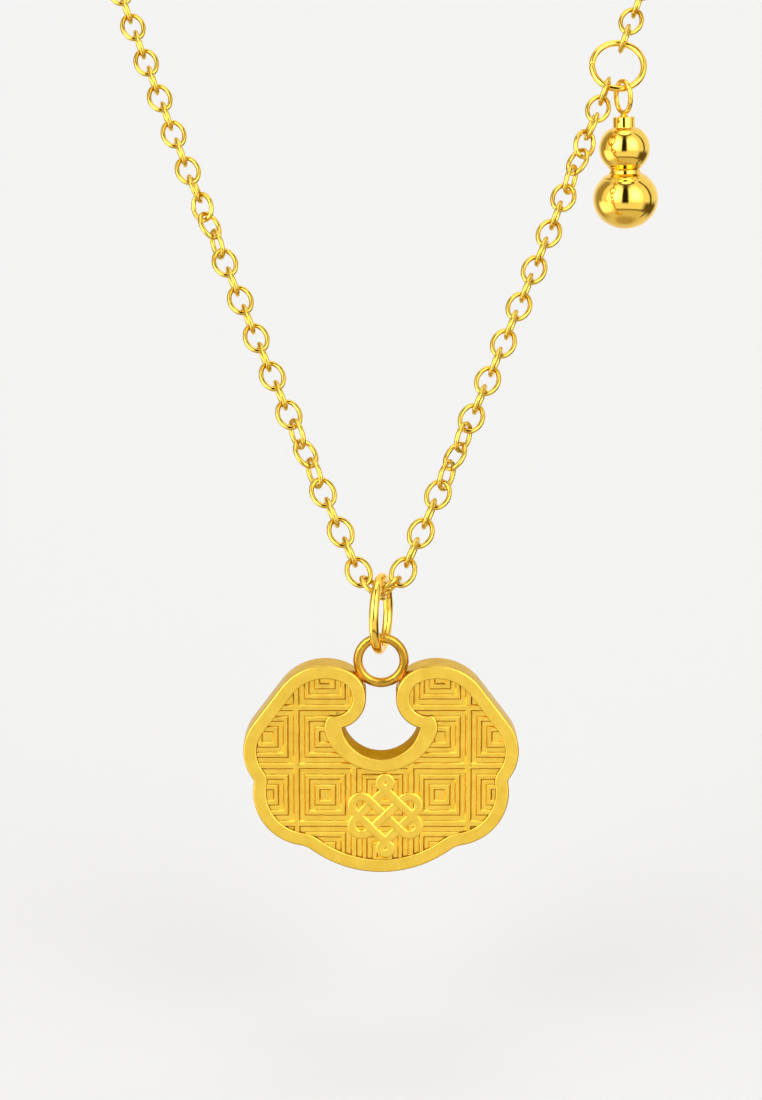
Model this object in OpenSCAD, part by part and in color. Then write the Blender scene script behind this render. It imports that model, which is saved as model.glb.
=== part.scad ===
// Padlock necklace: a cloud-shaped lock pendant on an oval jump ring, hung from
// a closed cable chain, with a gourd charm on a small side ring.
// Millimetres. +Z is up, the lock's face looks along -Y, and the origin is the
// nape of the neck, in the middle of the clasp.

/* [Necklace] */
// Length of the closed loop, measured along the chain
necklace_len = 450; // [430:1:480]
// How far the plane of the loop leans back from upright, in degrees
loop_lean = 34; // [30:1:38]
// Angle of each strand from the loop's upright axis, beside the lock's ring
strand_angle_low = 23.3; // [22.8:0.1:23.8]
// Angle of each strand where its visible curve ends
strand_angle_high = 19.3; // [19:0.1:19.8]

/* [Chain link] */
// Length of a link, outside
link_len = 3.18; // [3.14:0.01:3.24]
// Width of a link, outside
link_wid = 2.48; // [2.4:0.01:2.5]
// Diameter of a link's wire
link_wire = 0.48; // [0.44:0.01:0.5]
// Free play between two hooked links
link_play = 0.115; // [0.11:0.005:0.14]

/* [Lock] */
// Width of the lock
lock_w = 25; // [24.8:0.1:25.2]
// Thickness of the lock
lock_t = 3.1; // [2.8:0.1:3.4]
// Width of the plain rim
rim_w = 1.21; // [1.1:0.01:1.3]
// Depth of the patterned field below the rim
field_depth = 0.26; // [0.2:0.01:0.35]
// Height of the pattern's ridges above the field
ridge_h = 0.17; // [0.12:0.01:0.2]
// Height of the knot ornament above the field
knot_h = 0.26; // [0.22:0.01:0.3]
// Diameter of the wire of the ring soldered between the lobes
top_ring_wire = 0.9; // [0.8:0.05:0.95]

/* [Rings and charm] */
// Height of the oval ring that carries the lock, outside
bail_len = 7.46; // [7.4:0.02:7.5]
// Width of the oval ring, outside
bail_wid = 6.66; // [6.6:0.02:6.7]
// Diameter of the oval ring's wire
bail_wire = 0.9; // [0.84:0.01:0.9]
// Outside diameter of the side ring
side_ring_d = 5.65; // [5.6:0.05:5.8]
// Diameter of the side ring's wire
side_ring_wire = 0.65; // [0.6:0.01:0.66]
// Width of the slit where the side ring's ends meet
side_ring_slit = 0.12; // [0.08:0.01:0.2]
// Diameter of the gourd's lower bulb
gourd_low_d = 6.4; // [6.2:0.1:6.5]
// Diameter of the gourd's upper bulb
gourd_high_d = 5; // [4.75:0.05:5.05]

/* [Hidden] */
$fn = 24;
gold = [0.93, 0.75, 0.26];
polished_gold = [0.95, 0.78, 0.22];

// The loop's plane: across, up along the plane, and its normal towards the back
across = [1, 0, 0];
up_plane = [0, sin(loop_lean), cos(loop_lean)];
back_plane = [0, cos(loop_lean), -sin(loop_lean)];

// A strand: a slow curve, a straight run and half of the circle round the neck
strand_gap = 1.13;
curve_len = 65;
half_len = necklace_len / 2 - strand_gap;
curve_rate = (strand_angle_low - strand_angle_high) / curve_len;
curve_r = 180 / PI / curve_rate;
function curve_pt(s) = let (a = strand_angle_low - curve_rate * s)
    [strand_gap + curve_r * (cos(a) - cos(strand_angle_low)), curve_r * (sin(strand_angle_low) - sin(a))];
curve_end = curve_pt(curve_len);
arc_share = (90 + strand_angle_high) * PI / 180 / cos(strand_angle_high);
straight_len = (half_len - curve_len - curve_end.x * arc_share)
    / (1 + sin(strand_angle_high) * arc_share);
straight_end = curve_end + straight_len * [sin(strand_angle_high), cos(strand_angle_high)];
neck_r = straight_end.x / cos(strand_angle_high);
neck_centre_v = straight_end.y + neck_r * sin(strand_angle_high);
loop_h = neck_centre_v + neck_r;
function strand_angle(s) =
    s < curve_len ? strand_angle_low - curve_rate * s :
    s < curve_len + straight_len ? strand_angle_high :
    strand_angle_high - (s - curve_len - straight_len) / neck_r * 180 / PI;
function strand_pt(s) = let (a = strand_angle(s))
    s < curve_len ? curve_pt(s) :
    s < curve_len + straight_len ? curve_end + (s - curve_len) * [sin(a), cos(a)] :
    [0, neck_centre_v] + neck_r * [cos(a), -sin(a)];
function in_space(uv) = uv.x * across + (uv.y - loop_h) * up_plane;

// Links: centre line sizes, the pitch of a taut run and their turn about the strand
link_hl = (link_len - link_wire) / 2;
link_hw = (link_wid - link_wire) / 2;
taut_pitch = 2 * link_hl - link_wire - link_play;
first_link_s = 2.21;
right_pitch = 2.055;
right_links = 27;
// Links are joined into the strand in stretches of this many
stretch = 10;
// Twisted stretches: first link, last link, half turn and back, lasting turn
left_twists = [[5, 9, 30, 0], [17, 22, 0, 90]];
right_twists = [[5, 9, 36, 0], [21, 26, 0, 90]];
function share(i, row) = min(1, max(0, (i - row[0]) / (row[1] - row[0])));
function twist_of(i, rows) = len([for (r = rows) 1]) == 0 ? 0 :
    let (parts = [for (r = rows) -r[2] * sin(180 * share(i, r)) - r[3] * share(i, r)])
    parts * [for (r = rows) 1];

// The oval ring, from the loop's lowest point, and the two end links that run through it
low_pt = in_space([0, 0]);
bail_y = 0.544;
bail_top = 1.278;
bail_turn = 13;
bail_hl = (bail_len - bail_wire) / 2;
bail_hw = (bail_wid - bail_wire) / 2;
bail_z = bail_top - bail_hl;
// Each end link: its end inside the oval ring, its end at the chain, its turn. They hook
// each other under the top of the oval ring, which hangs over them.
left_end_link = [[0.256, 0.110, -0.470], [-1.707, 0.750, 1.270], 1.83];
right_end_link = [[-0.255, 1.054, -0.612], [1.614, 0.570, 1.275], -12.92];

// The ring soldered to the lock, and the lock hung from it
top_ring_r = 2.09;
hook_play = 0.12;
top_ring_z = bail_z - bail_hl + (top_ring_wire + bail_wire) / 2 + hook_play - top_ring_r;
lock_origin_drop = 9.74;
lock_pos = low_pt + [0, bail_y, top_ring_z - lock_origin_drop];

// Outline of the lock's right half: centre x, centre z, radius of each round
lock_scale = lock_w / 25;
bottom_round = [0, 0.6, 10.52];
low_lobe = [6.56, -2.33, 5.09];
side_lobe = [8.2, 1.52, 4.3];
top_lobe = [5.05, 4.64, 4.95];
scroll_r = 2.88;
scroll_turn = 113.4;
notch_round = [0, 4.38, 3.52];
// How much wider the rim is round the notch's points
point_rim = 1.38;
low_blend_r = 2.3;
side_blend_r = 0.5;
outline_step = 6;

// Field pattern: squares on a grid, and the ridges of one square
grid_w = 5.2;
grid_h = 5.48;
grid_x = 0.13;
grid_z = 0.17;
grid_cols = [-2 : 2];
grid_rows = [-2 : 2];
border_ridge = 0.5;
square_ridges = [[0.93, 0.44], [1.83, 0.4]];

// Endless knot ornament: spacing, band width and reach past the last crossing
knot_pitch = 1.73;
knot_band = 0.84;
knot_reach = 0.48;
knot_pos = [0.4, -4.55];

// Side ring, charm and clasp
side_ring_r = (side_ring_d - side_ring_wire) / 2;
side_ring_lean = loop_lean - 2;
side_ring_low_hook = 27;
side_ring_high_hook = 10;
side_ring_slit_at = 178;
last_right_s = first_link_s + (right_links - 1) * right_pitch;
ring_hook = (link_wire + side_ring_wire) / 2 + link_play + 0.02;
function dir(a) = [sin(a), cos(a)];
side_ring_uv = strand_pt(last_right_s) + (link_hl - ring_hook) * dir(strand_angle(last_right_s))
    + side_ring_r * dir(side_ring_low_hook);
side_ring_pos = in_space(side_ring_uv);
upper_first_s = last_right_s + 2 * link_hl - 2 * ring_hook
    + 2 * side_ring_r * cos((side_ring_low_hook - side_ring_high_hook) / 2);
gourd_eye_wire = 0.5;
gourd_eye_hl = 1.5;
gourd_eye_hw = 1.2;
gourd_eye_turn = 31;
gourd_hook = 9;
// The gourd hangs this much out of plumb, its low end towards the side
gourd_tilt = 2.3;
gourd_pos = side_ring_pos + side_ring_r * [sin(gourd_hook), -sin(side_ring_lean) * cos(gourd_hook),
    -cos(side_ring_lean) * cos(gourd_hook)]
    + [0, 0, side_ring_wire / 2 + gourd_eye_wire + link_play + 0.02];
collar_z = -3.65;
collar_h = 1.05;
collar_r = 1.07;
// Each bulb: height of its widest level, its reach above and below that level
high_bulb = [-6.7, 2.4, 2.4];
low_bulb = [-11.6, 2.91, 2.91];
bulb_step = 6;
neck_r_in = 1.5;
neck_ring_r = 1.6;
neck_top_z = -8.5;
neck_groove = 0.29;

clasp_ring_r = 2.05;
clasp_wire = 1;
clasp_eye_r = 0.88;
clasp_eye_wire = 0.5;
clasp_eye_x = -1.1;
clasp_ring_x = clasp_eye_x + clasp_eye_r + clasp_ring_r;
left_last_s = half_len + clasp_eye_x - clasp_eye_r + (link_wire + clasp_eye_wire) / 2 + link_play - link_hl;
upper_last_s = half_len - clasp_ring_x - clasp_ring_r + (link_wire + clasp_wire) / 2 + link_play - link_hl;
// An odd number of links lets the last one stand across the clasp's plane
function odd_count(run) = 2 * ceil(run / taut_pitch / 2 - 0.03) + 1;
left_links = odd_count(left_last_s - first_link_s);
upper_links = odd_count(upper_last_s - upper_first_s);
left_pitch = taut_pitch;
left_hidden_from = 31;
left_hidden_pitch = (left_last_s - first_link_s - (left_hidden_from - 1) * left_pitch)
    / (left_links - left_hidden_from);
upper_pitch = (upper_last_s - upper_first_s) / (upper_links - 1);

// One oval ring lying in the XY plane, long side along X, drawn as four arcs that run
// smoothly into each other; their centres stand in a 3-4-5 triangle
module oval_ring(half_l, half_w, wire) {
    part = (half_l - half_w) / 2;
    end_r = half_w - part;
    turn = 53.13;
    for (k = [0, 180]) rotate(k) {
        translate([3 * part, 0, 0]) rotate_extrude(angle = 2 * turn, start = -turn)
            translate([end_r, 0]) circle(d = wire);
        translate([0, -4 * part, 0]) rotate_extrude(angle = 180 - 2 * turn, start = turn)
            translate([end_r + 5 * part, 0]) circle(d = wire);
    }
}

module torus(r, wire) rotate_extrude() translate([r, 0]) circle(d = wire);

// Places children at p with their X axis along t and their Y axis along w
module framed(p, t, w) {
    n = cross(t, w);
    multmatrix([[t.x, w.x, n.x, p.x], [t.y, w.y, n.y, p.y], [t.z, w.z, n.z, p.z]]) children();
}

module chain_link() oval_ring(link_hl, link_hw, link_wire);

// A link on the strand of one side (-1 left, 1 right), turned about the strand
module strand_link(side, s, turn) {
    uv = strand_pt(s);
    a = strand_angle(s);
    t = side * sin(a) * across + cos(a) * up_plane;
    w = cos(turn) * (side * cos(a) * across - sin(a) * up_plane) + sin(turn) * back_plane;
    framed(in_space([side * uv.x, uv.y]), t, w) chain_link();
}

// An end link, which runs through the oval ring
module end_link(ends) {
    axis = ends[1] - ends[0];
    t = axis / norm(axis);
    level = cross(t, [0, 0, 1]);
    w0 = level / norm(level);
    w = cos(ends[2]) * w0 + sin(ends[2]) * cross(t, w0);
    framed(low_pt + (ends[0] + ends[1]) / 2, t, w) chain_link();
}

module chain_left() color(gold) {
    end_link(left_end_link);
    for (from = [1 : stretch : left_links]) union() for (i = [from : min(from + stretch - 1, left_links)]) {
        shown = min(i, left_hidden_from);
        s = first_link_s + (shown - 1) * left_pitch + (i - shown) * left_hidden_pitch;
        strand_link(-1, s, 90 * (i - 1) + twist_of(i, left_twists));
    }
}

module chain_right() color(gold) {
    end_link(right_end_link);
    for (from = [1 : stretch : right_links]) union() for (i = [from : min(from + stretch - 1, right_links)])
        strand_link(1, first_link_s + (i - 1) * right_pitch, 90 * (i - 1) + twist_of(i, right_twists));
    for (from = [1 : stretch : upper_links]) union() for (i = [from : min(from + stretch - 1, upper_links)])
        strand_link(1, upper_first_s + (i - 1) * upper_pitch, 90 * i);
}

module bail_ring() color(polished_gold)
    translate(low_pt + [0, bail_y, bail_z]) rotate([0, 0, -bail_turn]) rotate([0, -90, 0])
        oval_ring(bail_hl, bail_hw, bail_wire);

// Points of an arc about c, from angle a0 to a1
function arc(c, r, a0, a1) = let (n = max(2, ceil(abs(a1 - a0) / outline_step)))
    [for (i = [0 : n]) let (a = a0 + (a1 - a0) * i / n) [c.x, c.y] + r * [cos(a), sin(a)]];
function angle_to(a, b) = atan2(b.y - a.y, b.x - a.x);
// The start of an arc that runs clockwise to a1, given its start up to whole turns
function above(a0, a1) = a1 + (a0 - a1 + 720) % 360;
// Centre of the round of radius r that fills the hollow between two lobes
function blend_centre(a, b, r) = let (
    ab = norm([b.x - a.x, b.y - a.y]), ra = a[2] + r, rb = b[2] + r,
    along = (ab * ab + ra * ra - rb * rb) / (2 * ab), off = sqrt(ra * ra - along * along),
    d = angle_to(a, b))
    [a.x + along * cos(d) + off * sin(d), a.y + along * sin(d) - off * cos(d)];
// The right half of the outline, drawn in by inset, from the bottom to the notch
function half_outline(inset) = let (
    low_blend = blend_centre(bottom_round, low_lobe, low_blend_r),
    side_blend = blend_centre(low_lobe, side_lobe, side_blend_r),
    lobes = norm([top_lobe.x - side_lobe.x, top_lobe.y - side_lobe.y]),
    shoulder = angle_to(side_lobe, top_lobe) - acos((side_lobe[2] - top_lobe[2]) / lobes),
    scroll = [top_lobe.x, top_lobe.y] + (top_lobe[2] - scroll_r) * [cos(scroll_turn), sin(scroll_turn)],
    gap = norm([scroll.x - notch_round.x, scroll.y - notch_round.y]),
    cusp_turn = acos((gap * gap + notch_round[2] * notch_round[2] - scroll_r * scroll_r)
        / (2 * gap * notch_round[2])),
    cusp_at = angle_to(notch_round, scroll) - cusp_turn,
    cusp = [notch_round.x, notch_round.y] + notch_round[2] * [cos(cusp_at), sin(cusp_at)],
    scroll_end = angle_to(scroll, cusp),
    // the wider rim round the cusp, and where the scroll's own rim runs into it
    wide = point_rim * inset,
    along = (scroll_r * scroll_r + wide * wide - (scroll_r - inset) * (scroll_r - inset)) / (2 * scroll_r),
    wide_from = inset > 0 ? scroll_end + 180 - acos(along / wide) : 0,
    scroll_to = inset > 0 ? scroll_end + 360 + acos((scroll_r - along) / (scroll_r - inset)) : scroll_end + 360,
    // the notch's rim narrows from the cusp down to its lowest point
    start = cusp + wide * [cos(cusp_at), sin(cusp_at)],
    low = notch_round.y - notch_round[2] - inset,
    hollow = [0, (start * start - low * low) / (2 * (start.y - low))])
    concat(
        arc(bottom_round, bottom_round[2] - inset, -90, angle_to(bottom_round, low_blend)),
        arc(low_blend, low_blend_r + inset, above(angle_to(low_blend, bottom_round),
            angle_to(low_blend, low_lobe)), angle_to(low_blend, low_lobe)),
        arc(low_lobe, low_lobe[2] - inset, angle_to(low_lobe, low_blend), angle_to(low_lobe, side_blend)),
        arc(side_blend, side_blend_r + inset, above(angle_to(side_blend, low_lobe),
            angle_to(side_blend, side_lobe)), angle_to(side_blend, side_lobe)),
        arc(side_lobe, side_lobe[2] - inset, angle_to(side_lobe, side_blend), shoulder),
        arc(top_lobe, top_lobe[2] - inset, shoulder, scroll_turn),
        arc(scroll, scroll_r - inset, scroll_turn, scroll_to),
        inset > 0 ? arc(cusp, wide, wide_from, cusp_at) : [],
        arc(hollow, hollow.y - low, angle_to(hollow, start), -90));
// Both halves as one closed list, without doubled points
function whole_outline(inset) = let (
    half = half_outline(inset),
    all = concat(half, [for (i = [len(half) - 2 : -1 : 1]) [-half[i].x, half[i].y]]))
    [for (i = [0 : len(all) - 1]) let (q = all[(i + 1) % len(all)])
        if (norm(all[i] - q) > 0.02) lock_scale * all[i]];

module grid_ridges() {
    for (col = grid_cols, row = grid_rows) translate([grid_x + col * grid_w, grid_z + (row - 0.5) * grid_h])
        for (ridge = square_ridges) difference() {
            square(2 * ridge[0], center = true);
            square(2 * (ridge[0] - ridge[1]), center = true);
        }
    for (k = [-1.5 : 1 : 1.5]) {
        translate([grid_x + k * grid_w, 0]) square([border_ridge, 4 * lock_w], center = true);
        translate([0, grid_z + (k - 0.5) * grid_h]) square([4 * lock_w, border_ridge], center = true);
    }
}

// The knot: three bands each way, turned back at the ends into one endless band
module knot() {
    far = knot_pitch + knot_reach;
    bend = knot_pitch / 2;
    rotate(-45) for (flip = [0, 1]) mirror(flip * [1, 1]) {
        for (k = [-1 : 1]) translate([0, k * knot_pitch])
            square([2 * far, knot_band], center = true);
        for (side = [-1, 1]) translate([side * far, side * bend]) intersection() {
            difference() {
                circle(bend + knot_band / 2);
                circle(bend - knot_band / 2);
            }
            translate([side * knot_pitch, 0]) square(2 * knot_pitch, center = true);
        }
    }
    rotate(-45) for (side = [-1, 1]) translate([-side, side] * far) difference() {
        circle(knot_reach + knot_band / 2);
        circle(max(0.05, knot_reach - knot_band / 2));
        translate([side, -side] * knot_pitch) square(2 * knot_pitch, center = true);
    }
}

module lock() {
    floor_z = lock_t / 2 - field_depth;
    sink = 0.1;
    color(gold) translate(lock_pos) rotate([90, 0, 0]) {
        difference() {
            translate([0, 0, -lock_t / 2]) linear_extrude(lock_t) polygon(whole_outline(0));
            translate([0, 0, floor_z]) linear_extrude(field_depth + 1) polygon(whole_outline(rim_w));
        }
        translate([0, 0, floor_z - sink]) linear_extrude(ridge_h + sink) intersection() {
            polygon(whole_outline(rim_w - sink));
            grid_ridges();
        }
        translate([0, 0, floor_z - sink]) linear_extrude(knot_h + sink)
            translate(knot_pos) knot();
        translate([0, lock_origin_drop, 0]) {
            torus(top_ring_r, top_ring_wire);
            for (side = [-1, 1]) rotate(-90 + side * 52) translate([top_ring_r + 0.35, 0, 0]) sphere(0.52);
        }
    }
}

module side_ring() color(polished_gold)
    translate(side_ring_pos) rotate([90 - side_ring_lean, 0, 0])
        rotate_extrude(angle = 360 - side_ring_slit / side_ring_r * 180 / PI,
            start = side_ring_slit_at + side_ring_slit / side_ring_r * 90 / PI)
            translate([side_ring_r, 0]) circle(d = side_ring_wire);

// Points of a bulb's outline, from the angle a0 above its widest level down to a1
function bulb(r, at, a0, a1) = [for (a = [a0 : -bulb_step : a1]) [r * cos(a), at[0] + (a > 0 ? at[1] : at[2]) * sin(a)]];
// The gourd's outline from the collar down: collar, upper bulb, grooved neck, lower bulb
function gourd_profile() = let (bottom = low_bulb[0] - low_bulb[2])
    concat([[0, collar_z], [collar_r, collar_z], [collar_r, collar_z - collar_h]],
        bulb(gourd_high_d / 2, high_bulb, 48, -48),
        [for (k = [0 : 1]) for (part = [[neck_r_in, 0.05], [neck_ring_r, 0.13], [neck_ring_r, 0.22]])
            [part[0], neck_top_z - k * neck_groove - part[1]]],
        bulb(gourd_low_d / 2, low_bulb, 60, -84), [[0, bottom]]);

module gourd_charm() color(polished_gold) translate(gourd_pos) rotate([0, -gourd_tilt, 0]) {
    translate([0, 0, -gourd_eye_hl - gourd_eye_wire / 2]) rotate([0, 0, gourd_eye_turn]) rotate([0, -90, 0])
        oval_ring(gourd_eye_hl, gourd_eye_hw, gourd_eye_wire);
    translate([0, 0, collar_z]) cylinder(h = 0.7, r = 0.45, center = true);
    rotate_extrude() polygon(gourd_profile());
}

module clasp() color(polished_gold) rotate([90 - loop_lean, 0, 0]) {
    translate([clasp_ring_x, 0, 0]) torus(clasp_ring_r, clasp_wire);
    translate([clasp_eye_x, 0, 0]) torus(clasp_eye_r, clasp_eye_wire);
}

lock();
bail_ring();
chain_left();
chain_right();
side_ring();
gourd_charm();
clasp();
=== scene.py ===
import bpy, bmesh, math
from mathutils import Vector, Matrix, noise
from mathutils.geometry import delaunay_2d_cdt


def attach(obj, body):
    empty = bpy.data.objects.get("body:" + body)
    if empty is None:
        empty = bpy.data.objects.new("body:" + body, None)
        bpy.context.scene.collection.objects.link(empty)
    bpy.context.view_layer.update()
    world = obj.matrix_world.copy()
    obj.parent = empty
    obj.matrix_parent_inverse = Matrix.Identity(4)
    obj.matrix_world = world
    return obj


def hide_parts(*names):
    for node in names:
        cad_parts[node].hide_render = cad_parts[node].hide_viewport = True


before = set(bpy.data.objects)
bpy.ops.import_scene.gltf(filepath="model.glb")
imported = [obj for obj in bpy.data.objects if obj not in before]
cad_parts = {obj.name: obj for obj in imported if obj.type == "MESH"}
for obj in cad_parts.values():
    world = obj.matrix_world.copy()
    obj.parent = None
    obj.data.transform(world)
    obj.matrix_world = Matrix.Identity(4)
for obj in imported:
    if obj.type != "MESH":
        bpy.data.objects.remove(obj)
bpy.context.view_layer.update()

# Lengths are in millimetres and angles in degrees, where no comment says otherwise
MM = 0.001
ACROSS = Vector((1, 0, 0))
PLUMB = Vector((0, 0, 1))


def sin(d): return math.sin(math.radians(d))
def cos(d): return math.cos(math.radians(d))


# Materials: one gold, in several tones and finishes
GOLD = (0.93, 0.635, 0.085)
BLOTCH_SCALE, SPECKLE_SCALE = 700.0, 1900.0
DULL_TINT = (1.0, 0.94, 0.8)
GRAIN_DEPTH = 0.00005


def noise_node(tree, vector, scale, detail):
    node = tree.nodes.new("ShaderNodeTexNoise")
    node.inputs["Scale"].default_value = scale
    node.inputs["Detail"].default_value = detail
    tree.links.new(vector, node.inputs["Vector"])
    return node


def add_tone(tree, shader, coords, base, vary):
    """Soft blotches of the colour, from a duller and warmer tone to a brighter one."""
    ramp = tree.nodes.new("ShaderNodeValToRGB")
    dull = tuple(c * (1 - vary) * k for c, k in zip(base, DULL_TINT))
    bright = tuple(min(1, c * (1 + vary * 0.7)) for c in base)
    for stop, place, colour in zip(ramp.color_ramp.elements, (0.32, 0.68), (dull, bright)):
        stop.position = place
        stop.color = (*colour, 1)
    blotches = noise_node(tree, coords, BLOTCH_SCALE, 4.0)
    tree.links.new(blotches.outputs["Fac"], ramp.inputs["Fac"])
    tree.links.new(ramp.outputs["Color"], shader.inputs["Base Color"])


def add_polish(tree, shader, coords, rough, rough_vary):
    """Roughness that varies a little over the surface."""
    spread = tree.nodes.new("ShaderNodeMapRange")
    spread.inputs["To Min"].default_value = max(0.02, rough - rough_vary)
    spread.inputs["To Max"].default_value = rough + rough_vary
    speckles = noise_node(tree, coords, SPECKLE_SCALE, 5.0)
    tree.links.new(speckles.outputs["Fac"], spread.inputs["Value"])
    tree.links.new(spread.outputs["Result"], shader.inputs["Roughness"])


def add_grain(tree, shader, coords, strength, scale, stretch):
    """Fine bumps, which stretch can draw out into streaks."""
    mapping = tree.nodes.new("ShaderNodeMapping")
    mapping.inputs["Scale"].default_value = stretch
    tree.links.new(coords, mapping.inputs["Vector"])
    grain = noise_node(tree, mapping.outputs["Vector"], scale, 3.0)
    grain.inputs["Roughness"].default_value = 0.6
    bump = tree.nodes.new("ShaderNodeBump")
    bump.inputs["Strength"].default_value = strength
    bump.inputs["Distance"].default_value = GRAIN_DEPTH
    tree.links.new(grain.outputs["Fac"], bump.inputs["Height"])
    tree.links.new(bump.outputs["Normal"], shader.inputs["Normal"])


def make_gold(name, base=GOLD, edge=None, rough=0.2, rough_vary=0.06, vary=0.1, bump=0.3, bump_scale=4000.0,
              stretch=(1, 1, 1)):
    """A gold of the colour base, which varies by the share vary; edge is its colour at a grazing angle."""
    material = bpy.data.materials.new(name)
    material.use_nodes = True
    tree = material.node_tree
    shader = tree.nodes["Principled BSDF"]
    shader.inputs["Metallic"].default_value = 1.0
    shader.inputs["IOR"].default_value = 1.5
    if edge:
        shader.inputs["Specular Tint"].default_value = (*edge, 1)
    coords = tree.nodes.new("ShaderNodeTexCoord").outputs["Object"]
    add_tone(tree, shader, coords, base, vary)
    add_polish(tree, shader, coords, rough, rough_vary)
    add_grain(tree, shader, coords, bump, bump_scale, stretch)
    return material


# Rings, charm and clasp, and the links of the chain
polished = make_gold("gold_polished", base=(0.9, 0.61, 0.1), rough=0.07, rough_vary=0.03, vary=0.06,
                     bump=0.06, bump_scale=1500.0)
chain_gold = make_gold("gold_chain", base=(0.75, 0.52, 0.085), rough=0.06, rough_vary=0.02, vary=0.1,
                       bump=0.06, bump_scale=1500.0)
# The lock's plain rim, its brushed side wall, whose darker and browner gold is painted shade, and the sunk
# field
rim_gold = make_gold("gold_rim", rough=0.36, rough_vary=0.04, vary=0.05, bump=0.35, bump_scale=9000.0)
shaded_side_gold = make_gold("gold_side_painted_shade", base=(0.72, 0.47, 0.075), edge=(0.86, 0.74, 0.5), rough=0.26, vary=0.12,
                      bump=0.5, bump_scale=2600.0, stretch=(1, 0.12, 1))
field_gold = make_gold("gold_field", base=(0.93, 0.62, 0.08), rough=0.29, rough_vary=0.05, vary=0.05,
                       bump=0.12, bump_scale=6000.0)
# The ring between the lobes, its solder, and a darker, rougher gold for the notch's wall
ring_gold = make_gold("gold_ring", base=(0.62, 0.35, 0.042), rough=0.25, vary=0.2,
                      bump=0.5, bump_scale=3500.0)
solder = make_gold("solder_gold", base=(0.62, 0.23, 0.035), rough=0.34, rough_vary=0.12, vary=0.3,
                   bump=0.9, bump_scale=2500.0)
notch_wall_gold = make_gold("gold_notch_wall", base=(0.52, 0.29, 0.035), edge=(0.7, 0.5, 0.25), rough=0.42, vary=0.14,
                      bump=0.6, bump_scale=2600.0)
# Painted shade: a dark gold for the corner where the field meets the rim, and another for the walls of the
# ridges that look right or down, away from the light
corner_shade_gold = make_gold("gold_painted_corner_shade", base=(0.36, 0.17, 0.018), edge=(0.6, 0.42, 0.2), rough=0.4, vary=0.2,
                        bump=0.4, bump_scale=3000.0)
ridge_shade_gold = make_gold("gold_painted_ridge_shade", base=(0.62, 0.34, 0.035), edge=(0.75, 0.55, 0.28), rough=0.3, vary=0.1,
                      bump=0.15, bump_scale=5000.0)


# Mesh helpers
pieces = []


def finish_object(name, verts, faces, mats, body, replaces, face_mats=None):
    """One smooth piece that rides on a body and takes the place of a node."""
    me = bpy.data.meshes.new(name)
    me.from_pydata([tuple(c * MM for c in v) for v in verts], [], faces)
    me.validate()
    for m in mats:
        me.materials.append(m)
    if face_mats:
        for p, k in zip(me.polygons, face_mats):
            p.material_index = k
    for p in me.polygons:
        p.use_smooth = True
    me.update()
    ob = bpy.data.objects.new(name, me)
    bpy.context.scene.collection.objects.link(ob)
    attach(ob, body)
    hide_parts(replaces)
    pieces.append(ob)


class Pile:
    """Collects several bodies into one mesh."""
    def __init__(self):
        self.v, self.f, self.m = [], [], []

    def add(self, verts, faces, mat=0):
        k = len(self.v)
        self.v += verts
        self.f += [tuple(i + k for i in f) for f in faces]
        self.m += [mat] * len(faces)


def wobble(scale, *point):
    """A smooth random share of scale, the same for the same point."""
    return scale * noise.noise(Vector(point))


def tube(path, radius, sides, up, shape=None, closed=True):
    """A tube along points. shape(i, a) gives the radius factor at point i and angle a, in radians."""
    n = len(path)
    verts, faces = [], []
    for i, p in enumerate(path):
        before = path[i - 1] if closed or i > 0 else p
        after = path[(i + 1) % n] if closed or i < n - 1 else p
        along = (after - before).normalized()
        side = along.cross(up).normalized()
        top = side.cross(along)
        for k in range(sides):
            ang = 2 * math.pi * k / sides
            f = shape(i, ang) if shape else 1.0
            verts.append(p + (side * math.cos(ang) + top * math.sin(ang)) * radius * f)
    for i in range(n if closed else n - 1):
        j = (i + 1) % n
        for k in range(sides):
            l = (k + 1) % sides
            faces.append((i * sides + k, i * sides + l, j * sides + l, j * sides + k))
    if not closed:
        faces.append(tuple(range(sides)))
        faces.append(tuple((n - 1) * sides + k for k in reversed(range(sides))))
    return verts, faces


def oval_points(half_l, half_w, count):
    """Evenly spaced points of an oval centre line, long along x: four arcs that meet on 3-4-5 triangles."""
    part = (half_l - half_w) / 2
    end_r = half_w - part
    side_r = end_r + 5 * part
    turn = math.atan2(4, 3)
    runs = [(3 * part, 0, end_r, -turn, turn),
            (0, -4 * part, side_r, turn, math.pi - turn),
            (-3 * part, 0, end_r, math.pi - turn, math.pi + turn),
            (0, 4 * part, side_r, math.pi + turn, 2 * math.pi - turn)]
    total = sum(r * (b - a) for _, _, r, a, b in runs)
    pts = []
    for i in range(count):
        s = total * i / count
        for cx, cy, r, a, b in runs:
            if s <= r * (b - a) + 1e-9:
                pts.append((cx + r * math.cos(a + s / r), cy + r * math.sin(a + s / r)))
                break
            s -= r * (b - a)
    return pts


# The loop's run: length, backward lean, and each strand's angle from the upright at the bottom and higher up
NECKLACE, LEAN, ANGLE_LOW, ANGLE_HIGH = 450.0, 34.0, 23.3, 19.3
# Half the space between the strands at the bottom, and the length of the curve that starts there
GAP, CURVE = 1.13, 65.0
HALF = NECKLACE / 2 - GAP
RATE = (ANGLE_LOW - ANGLE_HIGH) / CURVE
CURVE_R = 180 / math.pi / RATE


def curve_pt(s):
    a = ANGLE_LOW - RATE * s
    return (GAP + CURVE_R * (cos(a) - cos(ANGLE_LOW)), CURVE_R * (sin(ANGLE_LOW) - sin(a)))


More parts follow.
